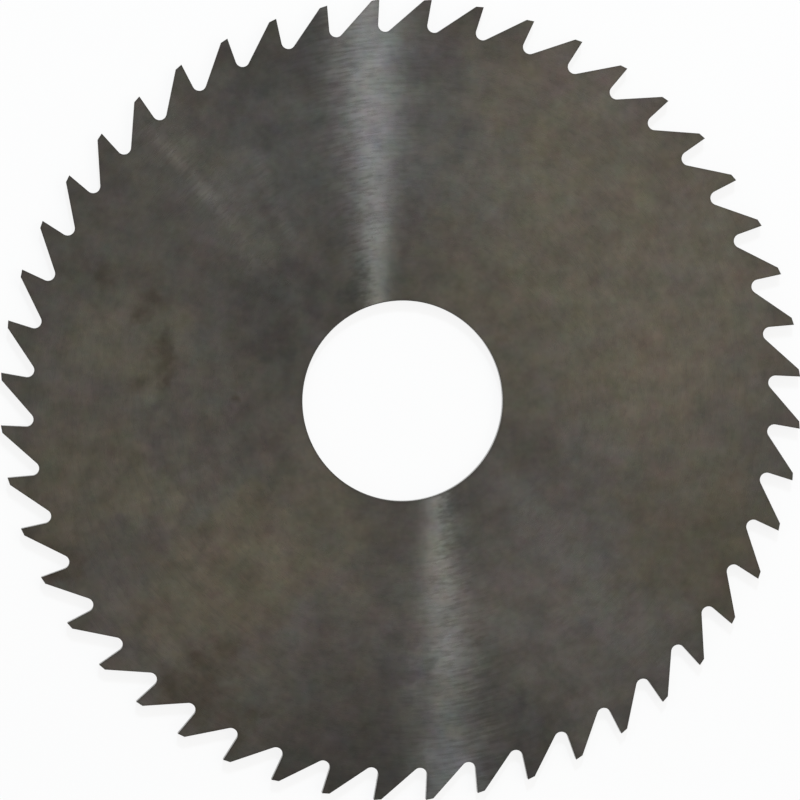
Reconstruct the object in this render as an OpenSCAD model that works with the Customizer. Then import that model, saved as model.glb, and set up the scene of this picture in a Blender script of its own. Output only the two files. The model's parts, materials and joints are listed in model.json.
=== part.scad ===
// Plain slitting saw: one thin hollow-ground disc with straight-backed teeth round its rim.
// The blade lies flat, with its axis along Z and its middle plane at Z = 0.
// Seen from above, the cutting faces look clockwise, and one tooth tip lies on the X axis.

/* [Blade] */
// Diameter over the tooth tips
outside_d = 101.6; // [70:0.1:160]
// Thickness at the tooth tips, which is the width of the slot that the blade cuts
rim_t = 1.6; // [0.5:0.1:5]

/* [Arbor seat] */
// Diameter of the arbor bore
bore_d = 25.4; // [10:0.1:40]
// Chamfer on both edges of the bore
bore_chamfer = 0.1; // [0.05:0.05:0.2]
// Diameter of the flat ring that the arbor collars clamp
clamp_d = 44; // [42:0.5:60]
// How far each clamped face lies below the side of the tooth tips
side_dish = 0.04; // [0.02:0.01:0.1]

/* [Teeth] */
// Number of teeth
teeth = 48; // [24:1:72]
// Rake of the cutting face, from the radius through the tip
rake_angle = 6; // [0:0.5:12]
// Width of the relieved land behind the cutting edge
land_w = 0.95; // [0.4:0.05:1.5]
// Fall of the land behind the cutting edge, from the tangent at the tip
relief_angle = 8; // [4:0.5:12]
// Fall of the straight tooth back behind the land, from the same tangent
back_angle = 45; // [40:0.5:52]
// Radius at the bottom of each gullet
gullet_r = 0.9; // [0.5:0.05:1.2]

/* [Hidden] */
$fn = 180;

// Stock on the turned disc outside the tips, and how far the gullet cuts run past that and both sides
cut_over = 2;

// Radii of the tips, the bore, the clamped ring and the turned disc
tip_r = outside_d / 2;
bore_r = bore_d / 2;
clamp_r = clamp_d / 2;
disc_r = tip_r + cut_over;
cut_r = disc_r + cut_over;

// Half thicknesses of the section, with the side tapering from the tips down to the clamped face
rim_half = rim_t / 2;
clamp_half = rim_half - side_dish;
side_slope = side_dish / (tip_r - clamp_r);
disc_half = rim_half + side_slope * (disc_r - tip_r);
cut_half = disc_half + cut_over;

// The gullet circle bites this much into both of its flanks, so that they run into each other
flank_bite = 0.001;
pitch_angle = 360 / teeth;

// Point at a distance from the axis and an angle counterclockwise from X
function polar(r, a) = [r * cos(a), r * sin(a)];
// Heading of a line that runs back from the tip at angle a and falls below the tangent there
function behind(a, fall) = polar(1, a + 90 + fall);
// Normal to the left of a heading
function left(u) = [-u[1], u[0]];
// Cross product of two plane vectors
function turn(u, v) = u[0] * v[1] - u[1] * v[0];
// Point where the line through p along u meets the line through q along v
function meet(p, u, q, v) = p + u * (turn(q - p, v) / turn(u, v));

// Turned and hollow-ground section from the bore to the rim, started half a tooth away from the tips
module disc() {
    rotate(pitch_angle / 2)
        rotate_extrude()
            polygon([
                [bore_r, -clamp_half + bore_chamfer],
                [bore_r + bore_chamfer, -clamp_half],
                [clamp_r, -clamp_half],
                [disc_r, -disc_half],
                [disc_r, disc_half],
                [clamp_r, clamp_half],
                [bore_r + bore_chamfer, clamp_half],
                [bore_r, clamp_half - bore_chamfer]
            ]);
}

// Outline of one gullet: the cutting face of the tooth on the X axis, a round bottom,
// and the back and the land of the tooth that runs ahead of it
module gullet() {
    tip = polar(tip_r, 0);
    rake = behind(0, 90 - rake_angle);
    ahead_tip = polar(tip_r, -pitch_angle);
    land = behind(-pitch_angle, relief_angle);
    back = behind(-pitch_angle, back_angle);
    heel = ahead_tip + land * land_w;
    rake_side = left(rake);
    back_side = -left(back);
    centre = meet(tip + rake_side * gullet_r, rake, heel + back_side * gullet_r, back);
    polygon([
        tip - rake * (cut_r - tip_r),
        centre - rake_side * gullet_r,
        centre - back_side * gullet_r,
        heel,
        ahead_tip - land * (cut_r - tip_r),
        polar(cut_r, -pitch_angle)
    ]);
    translate(centre)
        circle(gullet_r + flank_bite);
}

module saw_blade() {
    color("#54524c")
        difference() {
            disc();
            translate([0, 0, -cut_half])
                linear_extrude(2 * cut_half)
                    for (i = [0:teeth - 1])
                        rotate(i * pitch_angle)
                            gullet();
        }
}

saw_blade();
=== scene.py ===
"""A plain ground slitting saw, lying flat on a pale floor and seen from straight above."""
import cmath
import json
import math

import bmesh
import bpy
from mathutils import Matrix, Vector


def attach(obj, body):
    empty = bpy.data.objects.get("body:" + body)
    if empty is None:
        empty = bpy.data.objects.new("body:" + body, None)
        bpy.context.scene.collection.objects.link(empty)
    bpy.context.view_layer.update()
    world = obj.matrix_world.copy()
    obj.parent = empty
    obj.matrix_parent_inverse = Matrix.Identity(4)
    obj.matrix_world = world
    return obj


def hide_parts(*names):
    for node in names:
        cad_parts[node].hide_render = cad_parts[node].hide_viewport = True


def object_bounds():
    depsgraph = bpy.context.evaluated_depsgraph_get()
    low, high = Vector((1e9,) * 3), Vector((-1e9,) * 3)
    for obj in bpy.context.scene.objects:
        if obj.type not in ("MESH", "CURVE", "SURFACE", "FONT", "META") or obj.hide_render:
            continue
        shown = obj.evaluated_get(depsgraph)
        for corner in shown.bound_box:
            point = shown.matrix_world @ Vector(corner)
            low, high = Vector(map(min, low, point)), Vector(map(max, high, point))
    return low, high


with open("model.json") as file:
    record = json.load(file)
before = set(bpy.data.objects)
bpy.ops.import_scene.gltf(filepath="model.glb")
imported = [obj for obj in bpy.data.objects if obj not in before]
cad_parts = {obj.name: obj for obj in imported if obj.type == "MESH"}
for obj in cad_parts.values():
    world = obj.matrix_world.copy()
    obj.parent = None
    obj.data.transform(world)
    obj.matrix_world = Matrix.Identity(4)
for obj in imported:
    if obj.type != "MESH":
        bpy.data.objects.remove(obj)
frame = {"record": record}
cad_low, cad_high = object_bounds()

MM = 0.001

# Tooth form, the same as on the solid
TEETH = 48
PITCH = 2 * math.pi / TEETH
RAKE = math.radians(6)
LAND_WIDTH = 0.95 * MM
RELIEF = math.radians(8)
BACK = math.radians(45)
GULLET_RADIUS = 0.9 * MM

# Section from the bore to the rim, the same as on the solid
ARBOR_BORE = next(mount for mount in frame["record"]["mounts"] if mount["name"] == "arbor_bore")
BORE_RADIUS = ARBOR_BORE["dims"]["r_mm"] * MM
BORE_CHAMFER = 0.1 * MM
CLAMP_RADIUS = 22 * MM
SIDE_DISH = 0.04 * MM
TIP_RADIUS = cad_high.x
RIM_HALF = cad_high.z
CLAMP_HALF = RIM_HALF - SIDE_DISH
SIDE_SLOPE = SIDE_DISH / (TIP_RADIUS - CLAMP_RADIUS)

# How far the edges of the teeth are broken, and the width of the darker band along every edge
EDGE_BREAK = 0.02 * MM
EDGE_BAND = 0.3 * MM

# How finely the mesh follows the outline of a tooth
BOTTOM_STEPS = 10
RAKE_STEPS = 6
LAND_STEPS = 2
BACK_STEPS = 10
RUNOUT_STEPS = 4

# How finely it follows the section: the clamped ring, and the dish out to the circle where the teeth start
CLAMP_ROWS = 3
DISH_ROWS = 6

# Depth of that circle below the gullets, and the rows outside it: the edge band and both sides of the edge
TOOTH_BASE = 1.8 * MM
TOOTH_ROWS = 3

# Points closer than this are joined, and edges sharper than this stay crisp
WELD = 0.002 * MM
SHARP_ANGLE = math.radians(20)

# Face marks that tell the finishes apart
SIDE, FLANK, BORE = 0, 1, 2

# The picture: the camera stands far off, a little to the left of and above the blade's axis
VIEW_DISTANCE = 12.5 * TIP_RADIUS
VIEW_LEFT = math.radians(4.08)
VIEW_UP = math.radians(2.2)
PICTURE_TURN = math.radians(3.5)
PICTURE_CENTRE = (-0.295 * MM, 0.093 * MM, 0)
PICTURE_WIDTH = 101.36 * MM
SENSOR = 36
NEAREST_SEEN = 0.01
FARTHEST_SEEN = 20


def new_object(name, data):
    """A new object in the scene."""
    made = bpy.data.objects.new(name, data)
    bpy.context.collection.objects.link(made)
    return made


# The tooth and the blade

def turned(angle):
    """Unit point at an angle, as a complex number: the blade's plane is the complex plane."""
    return cmath.rect(1, angle)


def cross(u, v):
    """Cross product of two directions in the plane."""
    return u.real * v.imag - u.imag * v.real


def meet(p, u, q, v):
    """Point where the line through p along u meets the line through q along v."""
    return p + u * (cross(q - p, v) / cross(u, v))


def steps(start, end, count):
    """Points from start to end in equal steps, without the end."""
    return [start + (end - start) * k / count for k in range(count)]


def arc(centre, start, end, count):
    """Points round a centre from start to end by the short way, without the end."""
    sweep = cmath.phase((end - centre) / (start - centre))
    return [centre + (start - centre) * turned(sweep * k / count) for k in range(count)]


def tooth_outline():
    """One tooth from the bottom of the gullet before it to the bottom of the gullet behind it."""
    tip = complex(TIP_RADIUS, 0)
    rake = turned(math.pi - RAKE)
    land = turned(math.pi / 2 + RELIEF)
    back = turned(math.pi / 2 + BACK)
    heel = tip + land * LAND_WIDTH
    rake_side = rake * 1j
    back_side = back / 1j
    gullet_before = meet(
        tip + rake_side * GULLET_RADIUS, rake,
        (heel + back_side * GULLET_RADIUS) * turned(-PITCH), back * turned(-PITCH),
    )
    gullet_behind = gullet_before * turned(PITCH)
    bottom_before = gullet_before * (1 - GULLET_RADIUS / abs(gullet_before))
    bottom_behind = bottom_before * turned(PITCH)
    rake_foot = gullet_before - rake_side * GULLET_RADIUS
    back_foot = gullet_behind - back_side * GULLET_RADIUS
    return (
        arc(gullet_before, bottom_before, rake_foot, BOTTOM_STEPS)
        + steps(rake_foot, tip, RAKE_STEPS)
        + steps(tip, heel, LAND_STEPS)
        + steps(heel, back_foot, BACK_STEPS)
        + arc(gullet_behind, back_foot, bottom_behind, RUNOUT_STEPS)
        + [bottom_behind]
    )


def drawn_in(outline, amount):
    """The outline moved into the metal by an amount, with its corners kept."""
    around = [outline[-2] * turned(-PITCH)] + outline + [outline[1] * turned(PITCH)]
    inner = []
    for before, point, after in zip(around, outline, around[2:]):
        normals = [side * 1j / abs(side) for side in (point - before, after - point)]
        middle = sum(normals) / 2
        inner.append(point + amount * middle / abs(middle) ** 2)
    return inner


def side_height(point):
    """Half thickness of the hollow-ground blade at a point of its plane."""
    return CLAMP_HALF + SIDE_SLOPE * max(0, abs(point) - CLAMP_RADIUS)


def half_section(bearing, base_radius, band_inner, rim_inner, rim):
    """Upper half of the section along one bearing, as rows of (point, height, nearness to an edge)."""
    chamfer = (BORE_RADIUS + BORE_CHAMFER) * bearing
    chamfer_band = (BORE_RADIUS + BORE_CHAMFER + EDGE_BAND) * bearing
    clamp = CLAMP_RADIUS * bearing
    base = base_radius * bearing
    side = steps(chamfer_band, clamp, CLAMP_ROWS) + steps(clamp, base, DISH_ROWS) + [base, band_inner]
    return (
        [(BORE_RADIUS * bearing, CLAMP_HALF - BORE_CHAMFER, 1)]
        + [(chamfer, CLAMP_HALF, 1)]
        + [(point, side_height(point), 0) for point in side]
        + [(rim_inner, side_height(rim_inner), 1)]
        + [(rim, side_height(rim_inner) - EDGE_BREAK, 1)]
    )


def tooth_sector():
    """Mesh of one tooth with its share of the disc, open where the next tooth joins it."""
    outline = tooth_outline()
    inner = drawn_in(outline, EDGE_BREAK)
    band = drawn_in(outline, EDGE_BAND)
    base_radius = abs(outline[0]) - TOOTH_BASE
    start = cmath.phase(outline[0])
    mesh = bmesh.new()
    mark = mesh.faces.layers.int.new("finish")
    nearness = mesh.verts.layers.float.new("edge")
    columns = []
    for k, (rim, rim_inner, band_inner) in enumerate(zip(outline, inner, band)):
        bearing = turned(start + PITCH * k / (len(outline) - 1))
        upper = half_section(bearing, base_radius, band_inner, rim_inner, rim)
        lower = [(point, -height, edge) for point, height, edge in reversed(upper)]
        column = []
        for point, height, edge in upper + lower:
            vertex = mesh.verts.new((point.real, point.imag, height))
            vertex[nearness] = edge
            column.append(vertex)
        columns.append(column)

    # A strip of faces runs between each row and the next, round the section: the chamfer, the upper side,
    # the broken edge, the rim, the same again below, and the bore
    upper_strips = len(upper) - 1
    upper_finishes = [BORE] + [SIDE] * (upper_strips - 2) + [FLANK]
    finishes = upper_finishes + [FLANK] + upper_finishes[::-1] + [BORE]
    upper_tooth = upper_strips - TOOTH_ROWS
    lower_tooth = 2 * upper_strips - upper_tooth
    for k, finish in enumerate(finishes):
        following = (k + 1) % len(finishes)
        if k in (upper_tooth, lower_tooth):
            # Four-sided faces would fold over each other here, so the tooth's side is one face
            ahead = [column[following] for column in columns]
            behind = [column[k] for column in reversed(columns)]
            whole = mesh.faces.new(ahead + behind)
            whole[mark] = finish
            bmesh.ops.triangulate(mesh, faces=[whole], ngon_method="BEAUTY")
            continue
        for column, beside in zip(columns, columns[1:]):
            face = mesh.faces.new((column[k], column[following], beside[following], beside[k]))
            face[mark] = finish
    data = bpy.data.meshes.new("tooth_sector")
    mesh.to_mesh(data)
    mesh.free()
    return data


def ring_of_teeth():
    """Node tree that repeats a tooth sector round the axis, welds it and gives each finish its material."""
    tree = bpy.data.node_groups.new("ring_of_teeth", "GeometryNodeTree")
    for name, kind in (
        ("Geometry", "NodeSocketGeometry"),
        ("Teeth", "NodeSocketInt"),
        ("Weld", "NodeSocketFloat"),
        ("Sharp angle", "NodeSocketFloat"),
        ("Side", "NodeSocketMaterial"),
        ("Flank", "NodeSocketMaterial"),
        ("Bore", "NodeSocketMaterial"),
    ):
        tree.interface.new_socket(name, in_out="INPUT", socket_type=kind)
    tree.interface.new_socket("Geometry", in_out="OUTPUT", socket_type="NodeSocketGeometry")
    add = tree.nodes.new
    link = tree.links.new
    given = add("NodeGroupInput")
    made = add("NodeGroupOutput")

    points = add("GeometryNodePoints")
    link(given.outputs["Teeth"], points.inputs["Count"])
    turn = add("ShaderNodeMath")
    turn.operation = "DIVIDE"
    turn.inputs[0].default_value = 2 * math.pi
    link(given.outputs["Teeth"], turn.inputs[1])
    bearing = add("ShaderNodeMath")
    bearing.operation = "MULTIPLY"
    link(add("GeometryNodeInputIndex").outputs["Index"], bearing.inputs[0])
    link(turn.outputs[0], bearing.inputs[1])
    about_axis = add("ShaderNodeCombineXYZ")
    link(bearing.outputs[0], about_axis.inputs["Z"])
    ring = add("GeometryNodeInstanceOnPoints")
    link(points.outputs[0], ring.inputs["Points"])
    link(given.outputs["Geometry"], ring.inputs["Instance"])
    link(about_axis.outputs[0], ring.inputs["Rotation"])
    real = add("GeometryNodeRealizeInstances")
    link(ring.outputs[0], real.inputs["Geometry"])
    weld = add("GeometryNodeMergeByDistance")
    link(real.outputs[0], weld.inputs["Geometry"])
    link(given.outputs["Weld"], weld.inputs["Distance"])

    smooth = add("GeometryNodeSetShadeSmooth")
    link(weld.outputs[0], smooth.inputs["Geometry"])
    corner = add("FunctionNodeCompare")
    link(add("GeometryNodeInputMeshEdgeAngle").outputs["Unsigned Angle"], corner.inputs["A"])
    link(given.outputs["Sharp angle"], corner.inputs["B"])
    crisp = add("GeometryNodeSetShadeSmooth")
    crisp.domain = "EDGE"
    crisp.inputs["Shade Smooth"].default_value = False
    link(smooth.outputs[0], crisp.inputs["Geometry"])
    link(corner.outputs[0], crisp.inputs["Selection"])

    mark = add("GeometryNodeInputNamedAttribute")
    mark.data_type = "INT"
    mark.inputs["Name"].default_value = "finish"
    last = add("GeometryNodeSetMaterial")
    link(crisp.outputs[0], last.inputs["Geometry"])
    link(given.outputs["Side"], last.inputs["Material"])
    for finish, name in ((FLANK, "Flank"), (BORE, "Bore")):
        chosen = add("FunctionNodeCompare")
        chosen.data_type = "INT"
        chosen.operation = "EQUAL"
        # The sockets for whole numbers come after the two for plain numbers
        marked, wanted = chosen.inputs[2:4]
        link(mark.outputs["Attribute"], marked)
        wanted.default_value = finish
        coat = add("GeometryNodeSetMaterial")
        link(last.outputs[0], coat.inputs["Geometry"])
        link(chosen.outputs[0], coat.inputs["Selection"])
        link(given.outputs[name], coat.inputs["Material"])
        last = coat
    link(last.outputs[0], made.inputs["Geometry"])
    return tree


def blade(side, flank, bore):
    """The whole blade as one plain mesh."""
    source = new_object("tooth_sector", tooth_sector())
    source.data.materials.append(side)
    tree = ring_of_teeth()
    modifier = source.modifiers.new("ring_of_teeth", "NODES")
    modifier.node_group = tree
    values = {
        "Teeth": TEETH, "Weld": WELD, "Sharp angle": SHARP_ANGLE,
        "Side": side, "Flank": flank, "Bore": bore,
    }
    for item in tree.interface.items_tree:
        if item.in_out == "INPUT" and item.name in values:
            modifier[item.identifier] = values[item.name]
    evaluated = source.evaluated_get(bpy.context.evaluated_depsgraph_get())
    whole = bpy.data.meshes.new_from_object(evaluated)
    whole.name = "blade"
    bpy.data.objects.remove(source)
    return new_object("blade", whole)


# Materials

# Most of a noise lies in the first range. The second is spread out where clear highs and lows are wanted
MOST_NOISE = (0.3, 0.7)
MIDDLE_NOISE = (0.35, 0.65)
MEAN_NOISE = 0.5

# Vector sums that come out as a number
NUMBERS = ("DISTANCE", "DOT_PRODUCT", "LENGTH")


class Nodes:
    """Adds nodes to a material and joins them: an argument is a value or another node's output."""

    def __init__(self, name):
        self.material = bpy.data.materials.new(name)
        self.material.use_nodes = True
        self.tree = self.material.node_tree
        self.tree.nodes.clear()

    def put(self, socket, value):
        """Joins an output to a socket or sets a value there. None leaves the socket as it is."""
        if isinstance(value, bpy.types.NodeSocket):
            self.tree.links.new(value, socket)
        elif value is not None:
            socket.default_value = value

    def add(self, kind, *inputs, out=0, **settings):
        """One output of a new node, with its first sockets filled in order."""
        node = self.tree.nodes.new(kind)
        for key, value in settings.items():
            setattr(node, key, value)
        for socket, value in zip(node.inputs, inputs):
            self.put(socket, value)
        return node.outputs[out]

    def place(self):
        """Position in the blade's own frame."""
        return self.add("ShaderNodeTexCoord", out="Object")

    def parts(self, vector):
        """The three parts of a vector."""
        return self.add("ShaderNodeSeparateXYZ", vector).node.outputs

    def math(self, operation, *inputs):
        """A sum with numbers."""
        return self.add("ShaderNodeMath", *inputs, operation=operation)

    def product(self, first, *others):
        """All the numbers multiplied together."""
        for other in others:
            first = self.math("MULTIPLY", first, other)
        return first

    def vector(self, operation, *inputs):
        """A sum with vectors."""
        out = "Value" if operation in NUMBERS else "Vector"
        return self.add("ShaderNodeVectorMath", *inputs, operation=operation, out=out)

    def scaled(self, vector, amount):
        """A vector or colour times a number."""
        result = self.vector("SCALE", vector)
        self.put(result.node.inputs["Scale"], amount)
        return result

    def noise(self, place, scale, detail, roughness, out="Fac"):
        """Cloudy noise with so many clouds to a length of 1."""
        return self.add("ShaderNodeTexNoise", place, None, scale, detail, roughness, out=out)

    def spread(self, value, low, high, new_low, new_high):
        """A range stretched evenly over another."""
        return self.add("ShaderNodeMapRange", value, low, high, new_low, new_high)

    def fade(self, value, low, high, new_low, new_high):
        """A range eased into another at both ends."""
        return self.add(
            "ShaderNodeMapRange", value, low, high, new_low, new_high, interpolation_type="SMOOTHSTEP",
        )

    def vary(self, noise, middle, amount):
        """A number that goes up and down from a middle as a noise does."""
        return self.spread(noise, *MOST_NOISE, middle - amount, middle + amount)

    def blend(self, share, first, second):
        """A mix of two colours, whose sockets come after those for numbers and vectors."""
        node = self.tree.nodes.new("ShaderNodeMix")
        node.data_type = "RGBA"
        self.put(node.inputs["Factor"], share)
        self.put(node.inputs[6], first)
        self.put(node.inputs[7], second)
        return node.outputs[2]

    def bumped(self, height, strength, depth):
        """The surface's normal, tilted by marks of a depth."""
        normal = self.add("ShaderNodeBump", strength, depth)
        self.put(normal.node.inputs["Height"], height)
        return normal

    def metal(self, **inputs):
        """The finished material: metal with these values, named as the shader's sockets are."""
        shader = self.tree.nodes.new("ShaderNodeBsdfPrincipled")
        shader.inputs["Metallic"].default_value = 1.0
        for name, value in inputs.items():
            self.put(shader.inputs[name.replace("_", " ")], value)
        output = self.tree.nodes.new("ShaderNodeOutputMaterial")
        self.tree.links.new(shader.outputs[0], output.inputs["Surface"])
        return self.material


def srgb(red, green, blue):
    """A colour given in the 0 to 255 steps of a screen, as linear light."""
    def linear(step):
        s = step / 255
        return s / 12.92 if s <= 0.04045 else ((s + 0.055) / 1.055) ** 2.4
    return (linear(red), linear(green), linear(blue), 1)


# Tints of the sides and of the marks on them: most marks are stains, and some are painted shade and painted
# highlights along the bright spokes
GREY = srgb(77, 74, 69)
BARE_AND_SHEEN_GREY = srgb(76, 75, 73)
DARK_GREY = srgb(58, 56, 53)
SLATE = srgb(68, 66, 63)
OLIVE = srgb(86, 82, 73)
KHAKI = srgb(82, 77, 66)
UMBER = srgb(80, 76, 67)
PALE_GREY = srgb(84, 82, 78)
TAN = srgb(87, 82, 72)
MAUVE = srgb(88, 84, 79)
BROWN = srgb(64, 59, 51)

# Marks on the upper side: the middle's x and y and the reach in millimetres, and the tint. Most are stains;
# those noted are painted shade and painted highlights along the bright spokes
STAINS_AND_PAINTED_LIGHT = (
    (27, 12, 30, OLIVE),
    (18, 36, 15, OLIVE),
    (9, 32, 12, PALE_GREY),
    (31, 1, 12, TAN),
    (22, -20, 24, MAUVE),
    (37, -19, 14, KHAKI),
    (-26, -22, 13, KHAKI),
    (-27, -36, 7, BROWN),
    (-47, -14, 8, BROWN),
    (27, 41, 9, MAUVE),
    (23, -44, 7, MAUVE),
    (-17, -18, 10, TAN),
    (-13, -7, 7, OLIVE),
    (-34, -8, 6, OLIVE),
    (-42, -6, 12, UMBER),
    (-35, 11, 10, OLIVE),
    (-15, 13, 7, SLATE),
    # Painted shade on the upper bright spoke near the bore
    (-3, 15, 5, SLATE),
    # Partly a less stained patch, partly a painted cool sheen beside the upper bright spoke
    (-6, 36, 20, BARE_AND_SHEEN_GREY),
    (-18, 30, 6.5, PALE_GREY),
    # Painted shade beside the lower bright spoke, and a painted highlight on it
    (-2.5, -32, 5, SLATE),
    (3.3, -32, 3.6, PALE_GREY),
    # These two darken the side towards the lower rim
    (-9, -51, 24, DARK_GREY),
    (6, -53, 19, DARK_GREY),
    # Painted highlight on the lower bright spoke near the rim
    (6, -47, 9, BARE_AND_SHEEN_GREY),
    # Painted shade beside the upper bright spoke near the rim
    (-12, 45, 7, SLATE),
)

# Spots and painted shade, in the same terms: they are smaller and less ragged. The brown and olive ones are
# spots; those noted are painted shade beside the bright spokes
SPOTS_AND_PAINTED_SHADE = (
    (-31, 8, 2.8, BROWN),
    (-33.2, 5.3, 2, BROWN),
    (-30.2, 9.5, 1.8, BROWN),
    (-29.6, 5.8, 1.8, BROWN),
    (-31.2, 14.5, 2, BROWN),
    (-32.5, 12.8, 1.6, BROWN),
    (-36.7, 18.8, 2.4, BROWN),
    (-21, 0.6, 1, BROWN),
    # Painted shade beside the upper bright spoke, and beside the lower one near the bore
    (-9, 45, 5, SLATE),
    (4.8, 41, 4, SLATE),
    (-6.4, 22.5, 4.5, SLATE),
    (6, -14.3, 3, SLATE),
    # An olive spot
    (-8, -15, 5, OLIVE),
    # Painted shade beside the lower bright spoke
    (7.2, -35.5, 5.5, SLATE),
    (8.8, -39.5, 5.5, DARK_GREY),
    (9.6, -45.5, 4.5, DARK_GREY),
)

# Share of a mark's tint in its core, and the core's share of its reach
MARK_STRENGTH = 0.75
STAIN_AND_LIGHT_CORE = 0.4
SPOT_AND_SHADE_CORE = 0.0

# How far a noise draws the outlines of the marks about
STAIN_AND_LIGHT_RAGGED = 24 * MM
SPOT_AND_SHADE_RAGGED = 9 * MM
PAINTED_GLINT_RAGGED = 1 * MM

# Painted glints, thin lighter streaks in place of narrow reflections of lamps: where each starts and ends
# in millimetres, and how much brighter it is
PAINTED_GLINTS = (
    ((-31.2, 38.3), (-17.5, 20.1), 0.23),
    ((-17.8, 34.8), (-11.5, 17.8), 0.17),
    ((17.4, -26.5), (22, -34.8), 0.1),
)
PAINTED_GLINT_WIDTH = 1.5 * MM

# Tide marks, the dark outlines of dried drops: the middle and the reach of the patch that has them,
# drops to a metre, how far from its mean the noise still draws a line, and how dark the line is
TIDE_MIDDLE = (-31 * MM, -13 * MM, 0)
TIDE_REACH = 24 * MM
TIDE_DROPS = 105.0
TIDE_LINE = (0.015, 0.075)
TIDE_DARK = 0.89

# Fine variation all over: of the tint, of the brightness, and with the grinding marks
MOTTLING = 0.32
BLOTCHING = 0.17
GRIND_SHADE = 0.03

# Parts of the noise far from each other, so that the tint and the brightness vary apart
MOTTLE_SHIFT = (3.0, 1.0, 2.0)
BLOTCH_SHIFT = (7.0, 5.0, 1.0)

# Rings near the bore and the rim where the side darkens, how dark they get, and how dark the edges are
BORE_RING = (15 * MM, 27 * MM)
BORE_SHADE = 0.88
RIM_RING = (43.5 * MM, 50 * MM)
RIM_SHADE = 0.89
EDGE_SHADE = 0.85

# Grinding marks on the sides: their middle, how far the lay passes it, marks to a radian and to a length
GRIND_MIDDLE = (0.35 * MM, 0, 0)
GRIND_LAY = 3.1 * MM
GRIND_ARCS = 15.0
GRIND_LINES = 2.6 / MM
ROUGHNESS = 0.28
ROUGHNESS_VARIES = 0.035

# How far the lay wanders, in radians, and the ring by the bore where the marks are coarser
WANDER = 0.042
COARSE_RING = (14 * MM, 24 * MM)
COARSE_WANDER = 0.085
COARSE_ROUGHNESS = 0.045

# Grinding marks of the tooth flanks and the bore: marks to a length along each axis, and the tints
FLANK_MARKS = (5.0 / MM, 5.0 / MM, 0.15 / MM)
FLANK_DARK = srgb(72, 70, 67)
FLANK_PALE = srgb(86, 83, 77)
BORE_MARKS = (0.15 / MM, 0.15 / MM, 8.0 / MM)
BORE_GREY = srgb(88, 86, 82)


def marked_colour(n, stain_and_light_place, spot_and_shade_place):
    """Colour of a side, with its stains, spots, painted shade and painted highlights laid over each other
    in turn.
    """
    colour = GREY
    for place, core, marks in ((stain_and_light_place, STAIN_AND_LIGHT_CORE, STAINS_AND_PAINTED_LIGHT), (spot_and_shade_place, SPOT_AND_SHADE_CORE, SPOTS_AND_PAINTED_SHADE)):
        for x, y, reach, tint in marks:
            away = n.vector("DISTANCE", place, (x * MM, y * MM, 0))
            share = n.fade(away, core * reach * MM, reach * MM, MARK_STRENGTH, 0.0)
            colour = n.blend(share, colour, tint)
    return colour


def painted_glint(n, place, start, end, gain, broken):
    """Painted highlight along a straight line, which a noise breaks up: a thin lighter streak in place of a
    lamp's narrow reflection.
    """
    start = Vector((*start, 0)) * MM
    line = Vector((*end, 0)) * MM - start
    heading = line.normalized()
    from_start = n.vector("SUBTRACT", place, start)
    along = n.vector("DOT_PRODUCT", from_start, heading)
    aside = n.vector("DOT_PRODUCT", from_start, (-heading.y, heading.x, 0))
    near = n.fade(n.math("ABSOLUTE", aside), 0.0, PAINTED_GLINT_WIDTH, 1.0, 0.0)
    begun = n.fade(along, 0.0, line.length / 3, 0.0, 1.0)
    ended = n.fade(along, line.length * 2 / 3, line.length, 1.0, 0.0)
    strength = n.spread(broken, *MIDDLE_NOISE, gain / 2, gain * 3 / 2)
    return n.math("ADD", 1.0, n.product(near, begun, ended, strength))


def tide_marks(n, place, stain_and_light_place):
    """Brightness of the patch where dried drops left dark outlines."""
    drops = n.noise(place, scale=TIDE_DROPS, detail=3.0, roughness=0.5)
    from_line = n.math("ABSOLUTE", n.math("SUBTRACT", drops, MEAN_NOISE))
    away = n.vector("DISTANCE", stain_and_light_place, TIDE_MIDDLE)
    marked = n.product(
        n.fade(from_line, *TIDE_LINE, 1.0, 0.0),
        n.fade(away, STAIN_AND_LIGHT_CORE * TIDE_REACH, TIDE_REACH, 1.0, 0.0),
    )
    return n.spread(marked, 0.0, 1.0, 1.0, TIDE_DARK)


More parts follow.
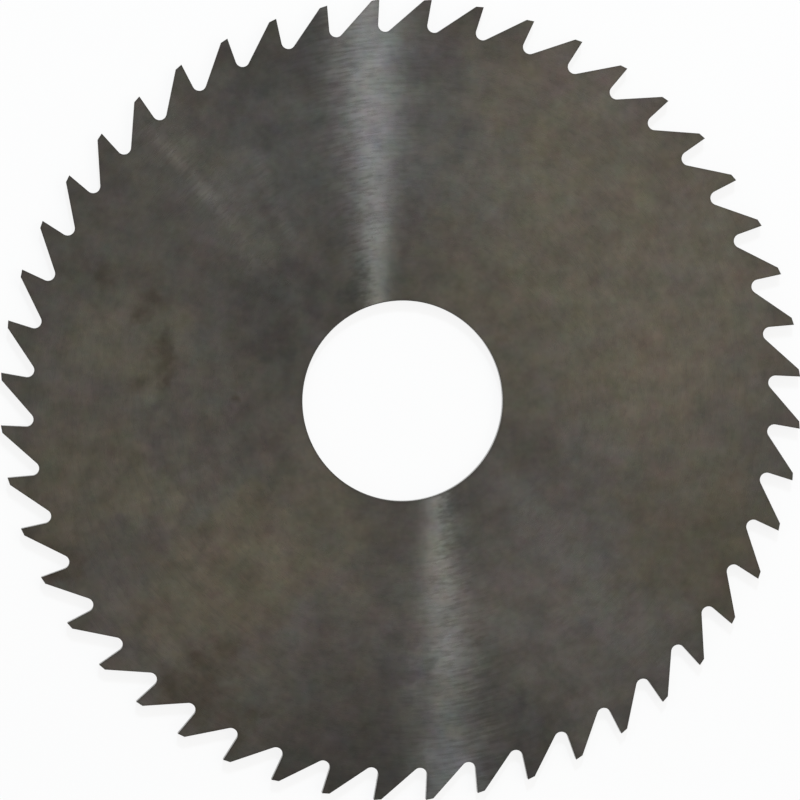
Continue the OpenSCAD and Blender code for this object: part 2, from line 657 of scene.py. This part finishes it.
def ground_side():
    """Side faces: circular grinding marks, which draw a lamp out into bright spokes, under old stains, with
    painted shade and painted highlights along the spokes and painted glints.
    """
    n = Nodes("ground_side")
    place = n.place()
    flat = n.vector("MULTIPLY", n.vector("SUBTRACT", place, GRIND_MIDDLE), (1, 1, 0))
    radius = n.vector("LENGTH", flat)
    outward = n.vector("NORMALIZE", flat)
    across = n.add("ShaderNodeCombineXYZ", 0.0, 0.0, n.math("MULTIPLY", radius, GRIND_LINES))
    marks = n.vector("ADD", n.scaled(outward, GRIND_ARCS), across)
    grind = n.noise(marks, scale=1.0, detail=1.5, roughness=0.6)

    # Light spreads across the marks, so its direction is outward, turned back by the lay
    lay = n.math("ARCSINE", n.math("DIVIDE", GRIND_LAY, radius))
    unsteady = n.fade(radius, *COARSE_RING, COARSE_WANDER, WANDER)
    wander = n.product(n.math("SUBTRACT", grind, MEAN_NOISE), unsteady)
    turn = n.product(n.math("ADD", wander, lay), -1.0)
    spreading = n.add("ShaderNodeVectorRotate", outward, None, None, turn, rotation_type="Z_AXIS")

    # The underside has its stains, spots, painted shade, painted highlights and painted glints in mirrored
    # places
    x, y, z = n.parts(place)
    own_side = n.add("ShaderNodeCombineXYZ", x, n.product(y, n.math("SIGN", z)), 0.0)
    ragged = n.noise(place, scale=90.0, detail=5.0, roughness=0.65, out="Color")
    uneven = n.vector("SUBTRACT", ragged, (MEAN_NOISE,) * 3)
    stain_and_light_place, spot_and_shade_place, painted_glint_place = (
        n.vector("MULTIPLY_ADD", uneven, (amount, amount, 0), own_side)
        for amount in (STAIN_AND_LIGHT_RAGGED, SPOT_AND_SHADE_RAGGED, PAINTED_GLINT_RAGGED)
    )

    mottle_place = n.vector("ADD", place, MOTTLE_SHIFT)
    mottle = n.noise(mottle_place, scale=260.0, detail=3.5, roughness=0.8, out="Color")
    cast = n.vector("MULTIPLY_ADD", mottle, (MOTTLING,) * 3, (1 - MOTTLING / 2,) * 3)
    blotch = n.noise(n.vector("ADD", place, BLOTCH_SHIFT), scale=300.0, detail=2.5, roughness=0.8)
    edge = n.add("ShaderNodeAttribute", attribute_name="edge", out="Fac")
    shade = n.product(
        n.vary(blotch, middle=1.0, amount=BLOTCHING),
        n.vary(grind, middle=1.0, amount=GRIND_SHADE),
        tide_marks(n, own_side, stain_and_light_place),
        # Painted highlights: thin lighter streaks that stand for narrow reflections of lamps
        *(painted_glint(n, painted_glint_place, start, end, gain, grind) for start, end, gain in PAINTED_GLINTS),
        n.fade(radius, *BORE_RING, BORE_SHADE, 1.0),
        n.fade(radius, *RIM_RING, 1.0, RIM_SHADE),
        n.spread(edge, 0.0, 1.0, 1.0, EDGE_SHADE),
    )
    coarser = n.fade(radius, *COARSE_RING, COARSE_ROUGHNESS, 0.0)
    return n.metal(
        Base_Color=n.scaled(n.vector("MULTIPLY", marked_colour(n, stain_and_light_place, spot_and_shade_place), cast), shade),
        Roughness=n.math("ADD", n.vary(grind, ROUGHNESS, ROUGHNESS_VARIES), coarser),
        Anisotropic=1.0,
        Tangent=spreading,
        Normal=n.bumped(grind, strength=0.6, depth=0.001 * MM),
    )


def ground_flank():
    """Tooth flanks: straight grinding marks across the blade's thickness."""
    n = Nodes("ground_flank")
    place = n.place()
    grind = n.noise(n.vector("MULTIPLY", place, FLANK_MARKS), scale=1.0, detail=4.0, roughness=0.6)
    cloud = n.noise(place, scale=300.0, detail=3.0, roughness=0.5)
    tint = n.blend(n.spread(cloud, *MIDDLE_NOISE, 0.0, 1.0), FLANK_DARK, FLANK_PALE)
    normal = n.add("ShaderNodeNewGeometry", out="Normal")
    return n.metal(
        Base_Color=n.scaled(tint, n.vary(grind, middle=1.0, amount=0.1)),
        Roughness=n.vary(grind, middle=0.35, amount=0.05),
        Anisotropic=0.8,
        Tangent=n.vector("CROSS_PRODUCT", normal, (0, 0, 1)),
        Normal=n.bumped(grind, strength=0.6, depth=0.001 * MM),
    )


def ground_bore():
    """Bore and its chamfers: fine marks round the wall."""
    n = Nodes("ground_bore")
    grind = n.noise(n.vector("MULTIPLY", n.place(), BORE_MARKS), scale=1.0, detail=4.0, roughness=0.6)
    return n.metal(
        Base_Color=n.scaled(BORE_GREY[:3], n.vary(grind, middle=1.0, amount=0.1)),
        Roughness=n.vary(grind, middle=0.29, amount=0.05),
        Anisotropic=0.8,
        Tangent=(0, 0, 1),
        Normal=n.bumped(grind, strength=0.5, depth=0.0006 * MM),
    )


# Floor, light and camera

FLOOR_HALF = 3.0
FLOOR_GREY = (0.9, 0.9, 0.9, 1)
FLOOR_ROUGHNESS = 0.8

# Share of plain white in the floor where it is seen directly, and the room's light on everything else
FLOOR_LIFT = 0.87
ROOM_LIGHT = 0.4


def seen_directly(tree):
    """Output that is 1 for camera, mirror and glass rays, which see the plain white setting, and else 0."""
    path = tree.nodes.new("ShaderNodeLightPath")
    total = path.outputs["Is Camera Ray"]
    for name in ("Is Glossy Ray", "Is Transmission Ray"):
        either = tree.nodes.new("ShaderNodeMath")
        either.operation = "MAXIMUM"
        tree.links.new(total, either.inputs[0])
        tree.links.new(path.outputs[name], either.inputs[1])
        total = either.outputs[0]
    return total


def pale_floor():
    """Wide matt floor under the blade, nearly white to the camera but for the shadow."""
    material = bpy.data.materials.new("pale_floor")
    material.use_nodes = True
    tree = material.node_tree
    matte = tree.nodes["Principled BSDF"]
    matte.inputs["Base Color"].default_value = FLOOR_GREY
    matte.inputs["Roughness"].default_value = FLOOR_ROUGHNESS
    white = tree.nodes.new("ShaderNodeEmission")
    share = tree.nodes.new("ShaderNodeMath")
    share.operation = "MULTIPLY"
    share.inputs[1].default_value = FLOOR_LIFT
    tree.links.new(seen_directly(tree), share.inputs[0])
    mixed = tree.nodes.new("ShaderNodeMixShader")
    tree.links.new(share.outputs[0], mixed.inputs[0])
    tree.links.new(matte.outputs[0], mixed.inputs[1])
    tree.links.new(white.outputs[0], mixed.inputs[2])
    tree.links.new(mixed.outputs[0], tree.nodes["Material Output"].inputs["Surface"])

    shape = bmesh.new()
    bmesh.ops.create_grid(shape, x_segments=1, y_segments=1, size=FLOOR_HALF)
    bmesh.ops.translate(shape, verts=shape.verts, vec=(0, 0, cad_low.z))
    data = bpy.data.meshes.new("floor")
    shape.to_mesh(data)
    shape.free()
    data.materials.append(material)
    floor = new_object("floor", data)


def white_room():
    """Plain white all round: at full strength where it is seen directly, and softer as light."""
    world = bpy.data.worlds.new("white_room")
    world.use_nodes = True
    tree = world.node_tree
    background = tree.nodes["Background"]
    background.inputs["Color"].default_value = (1, 1, 1, 1)
    strength = tree.nodes.new("ShaderNodeMapRange")
    strength.inputs["To Min"].default_value = ROOM_LIGHT
    strength.inputs["To Max"].default_value = 1.0
    tree.links.new(seen_directly(tree), strength.inputs["Value"])
    tree.links.new(strength.outputs[0], background.inputs["Strength"])
    bpy.context.scene.world = world


def in_picture(point):
    """A point given along the picture's right, up and towards the viewer, in the blade's own frame."""
    return Matrix.Rotation(-PICTURE_TURN, 3, "Z") @ Vector(point)


def soft_lamp(name, bearing, height, distance, size, power, colour):
    """Oval lamp aimed at the blade, at a bearing in the picture and a height above the floor in degrees."""
    turn = math.radians(bearing)
    rise = math.radians(height)
    towards = in_picture(
        (math.cos(rise) * math.cos(turn), math.cos(rise) * math.sin(turn), math.sin(rise)),
    )
    data = bpy.data.lights.new(name, "AREA")
    data.shape = "ELLIPSE"
    data.size, data.size_y = size
    data.energy = power
    data.color = colour
    lamp = new_object(name, data)
    lamp.location = towards * distance
    lamp.rotation_euler = towards.to_track_quat("Z", "Y").to_euler()
    lamp.visible_camera = False


def picture_camera():
    """Camera of the picture, with its width set where it looks at the blade."""
    towards = in_picture((-math.sin(VIEW_LEFT), math.sin(VIEW_UP), 1)).normalized()
    aim = in_picture(PICTURE_CENTRE)
    right = in_picture((1, 0, 0))
    up = towards.cross(right).normalized()
    right = up.cross(towards)
    data = bpy.data.cameras.new("camera")
    data.sensor_width = SENSOR
    data.lens = SENSOR * VIEW_DISTANCE / PICTURE_WIDTH
    data.clip_start = NEAREST_SEEN
    data.clip_end = FARTHEST_SEEN
    camera = new_object("camera", data)
    turn = Matrix((right, up, towards)).transposed().to_4x4()
    camera.matrix_world = Matrix.Translation(aim + towards * VIEW_DISTANCE) @ turn
    bpy.context.scene.camera = camera


bpy.context.scene.view_settings.view_transform = "Standard"
picture_camera()
pale_floor()
white_room()
soft_lamp(
    "key", bearing=86.8, height=45, distance=1.2,
    size=(0.10, 0.16), power=7.6, colour=(0.82, 0.9, 0.975),
)
soft_lamp(
    "glint", bearing=127, height=45, distance=1.2,
    size=(0.16, 0.16), power=0.9, colour=(0.8, 0.89, 1),
)
soft_lamp(
    "fill", bearing=25, height=52, distance=0.7,
    size=(0.95, 0.4), power=1.4, colour=(1, 0.93, 0.8),
)

piece = blade(ground_side(), ground_flank(), ground_bore())
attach(piece, "root")
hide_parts("saw_blade")
